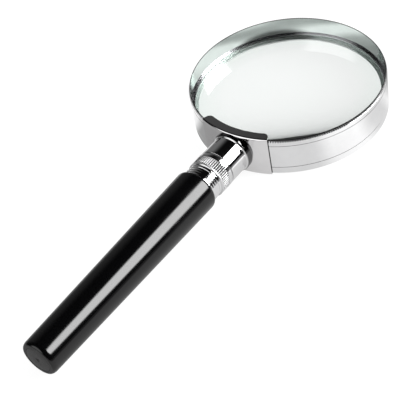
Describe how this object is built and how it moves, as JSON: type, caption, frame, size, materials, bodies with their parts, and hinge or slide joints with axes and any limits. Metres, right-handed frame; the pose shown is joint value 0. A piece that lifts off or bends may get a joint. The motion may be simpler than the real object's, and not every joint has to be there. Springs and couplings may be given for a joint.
{
  "type": "hand lens",
  "caption": "Round reading lens in a deep chromed rim with a milled edge, on a folded saddle and neck with a screw-on black handle.",
  "frame": {"origin": "middle of the rim's height, on the lens's optical axis", "axes": "+Z along the optical axis, out of the face whose edge is milled; the handle runs along -Y; +X completes the right-handed set"},
  "size_m": [0.065, 0.1595, 0.0144],
  "materials": {
    "band_chrome": "mirror, with a milled edge and two turned lines",
    "saddle_chrome": "mirror",
    "neck_chrome": "mirror",
    "collar_chrome": "bright, knurled",
    "ferrule_chrome": "bright, ribbed",
    "seat_metal": "satin",
    "spring_steel": "drawn wire",
    "washer_steel": "stamped",
    "stud_steel": "cut thread",
    "optical_glass": "polished",
    "grip_black": "gloss",
    "plug_black": "semi-gloss"
  },
  "bodies": {
    "head": {"rim_band": "band_chrome", "lens_seat_ring": "seat_metal", "lens": "optical_glass", "lens_spring_ring": "spring_steel", "saddle_plate": "saddle_chrome", "neck_tube": "neck_chrome"},
    "washer": {"neck_washer": "washer_steel"},
    "handle": {"knurled_collar": "collar_chrome", "threaded_stud": "stud_steel", "ferrule": "ferrule_chrome", "handle_grip": "grip_black", "butt_plug": "plug_black"}
  },
  "joints": [
    {"name": "handle_travel", "type": "slide", "parent": "head", "child": "washer", "axis": [0, -1, 0], "range_m": [0, 0.006]},
    {"name": "handle_turn", "type": "hinge", "parent": "washer", "child": "handle", "pos_m": [0, -0.0475, 0], "axis": [0, -1, 0], "range_deg": [0, 2160]}
  ],
  "couplings": [
    {"joint": "handle_turn", "follows": "handle_travel", "rad_per_m": 6283.2}
  ]
}
